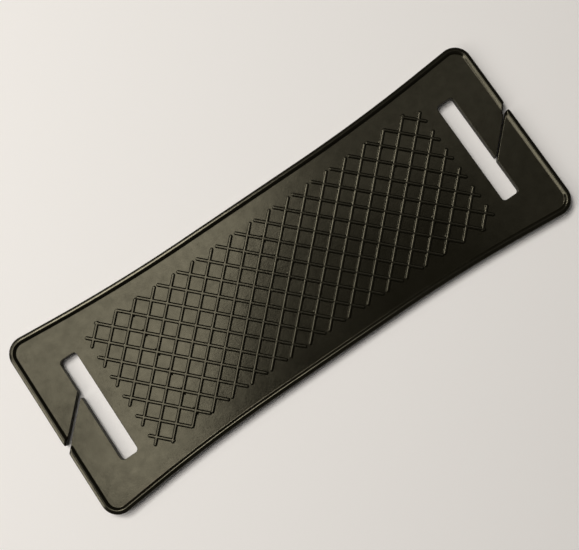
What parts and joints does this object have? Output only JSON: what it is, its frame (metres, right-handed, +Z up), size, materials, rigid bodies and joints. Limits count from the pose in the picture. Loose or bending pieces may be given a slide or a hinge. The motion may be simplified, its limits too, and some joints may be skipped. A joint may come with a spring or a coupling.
{
  "type": "strap shoulder pad",
  "caption": "Waisted flexible rubber pad with a raised rim, a diamond grid of grip ribs and a slit webbing slot at each end, for a carrying strap.",
  "frame": {"origin": "middle of the plain underside, on the surface the pad lies on", "axes": "+X along the pad's length, +Y across it, +Z up out of the ribbed face; the slit's slant runs towards +X and +Y at both ends"},
  "size_m": [0.192, 0.0704, 0.004],
  "materials": {
    "rubber": "satin moulded black rubber with a fine grain"
  },
  "bodies": {
    "centre": {"centre_sheet": "rubber", "centre_rim_bead": "rubber", "centre_rib_grid": "rubber"},
    "left_shoulder": {"left_shoulder_sheet": "rubber", "left_shoulder_rim_bead": "rubber", "left_shoulder_rib_grid": "rubber"},
    "left_end": {"left_slot_frame": "rubber", "left_slot_frame_rim_bead": "rubber"},
    "left_front_tab": {"left_front_tab": "rubber", "left_front_tab_rim_bead": "rubber"},
    "left_back_tab": {"left_back_tab": "rubber", "left_back_tab_rim_bead": "rubber"},
    "right_shoulder": {"right_shoulder_sheet": "rubber", "right_shoulder_rim_bead": "rubber", "right_shoulder_rib_grid": "rubber"},
    "right_end": {"right_slot_frame": "rubber", "right_slot_frame_rim_bead": "rubber"},
    "right_front_tab": {"right_front_tab": "rubber", "right_front_tab_rim_bead": "rubber"},
    "right_back_tab": {"right_back_tab": "rubber", "right_back_tab_rim_bead": "rubber"}
  },
  "joints": [
    {"name": "left_inner_bend", "type": "hinge", "parent": "centre", "child": "left_shoulder", "pos_m": [-0.026, 0, 0.0016], "axis": [0, 1, 0], "range_deg": [0, 25], "stiffness_Nm_per_rad": 0.15},
    {"name": "left_outer_bend", "type": "hinge", "parent": "left_shoulder", "child": "left_end", "pos_m": [-0.0726, 0, 0.0016], "axis": [0, 1, 0], "range_deg": [0, 25], "stiffness_Nm_per_rad": 0.1},
    {"name": "left_front_tab_flex", "type": "hinge", "parent": "left_end", "child": "left_front_tab", "pos_m": [-0.0891, -0.0184, 0.0016], "axis": [1, 0, 0], "range_deg": [0, 35], "stiffness_Nm_per_rad": 0.03},
    {"name": "left_back_tab_flex", "type": "hinge", "parent": "left_end", "child": "left_back_tab", "pos_m": [-0.0891, 0.0184, 0.0016], "axis": [-1, 0, 0], "range_deg": [0, 35], "stiffness_Nm_per_rad": 0.03},
    {"name": "right_inner_bend", "type": "hinge", "parent": "centre", "child": "right_shoulder", "pos_m": [0.026, 0, 0.0016], "axis": [0, -1, 0], "range_deg": [0, 25], "stiffness_Nm_per_rad": 0.15},
    {"name": "right_outer_bend", "type": "hinge", "parent": "right_shoulder", "child": "right_end", "pos_m": [0.0726, 0, 0.0016], "axis": [0, -1, 0], "range_deg": [0, 25], "stiffness_Nm_per_rad": 0.1},
    {"name": "right_front_tab_flex", "type": "hinge", "parent": "right_end", "child": "right_front_tab", "pos_m": [0.0891, -0.0184, 0.0016], "axis": [1, 0, 0], "range_deg": [0, 35], "stiffness_Nm_per_rad": 0.03},
    {"name": "right_back_tab_flex", "type": "hinge", "parent": "right_end", "child": "right_back_tab", "pos_m": [0.0891, 0.0184, 0.0016], "axis": [-1, 0, 0], "range_deg": [0, 35], "stiffness_Nm_per_rad": 0.03}
  ]
}
